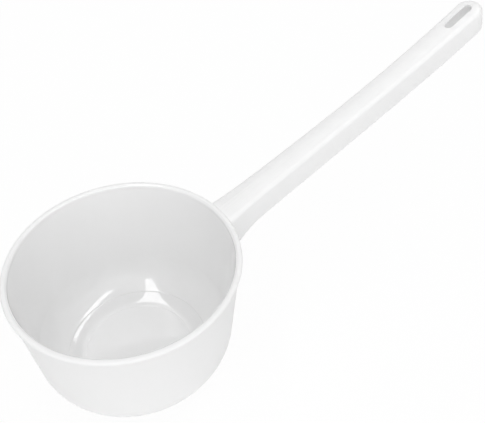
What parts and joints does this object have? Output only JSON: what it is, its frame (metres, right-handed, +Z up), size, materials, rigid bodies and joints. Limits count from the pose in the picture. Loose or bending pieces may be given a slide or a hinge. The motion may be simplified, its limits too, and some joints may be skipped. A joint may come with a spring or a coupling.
{
  "type": "water dipper",
  "caption": "Round tapered bathroom dipper with a rounded rim, a softly rounded bottom and a long rising channel handle with a hanging slot.",
  "frame": {"origin": "in the table plane, under the middle of the dipper's whole length", "axes": "+X along the handle, away from the bowl, +Z up out of the bowl's mouth, +Y to the left of the handle"},
  "size_m": [0.3855, 0.15, 0.1587],
  "materials": {
    "plastic": "gloss"
  },
  "bodies": {
    "root": {"dipper": "plastic"}
  },
  "joints": []
}
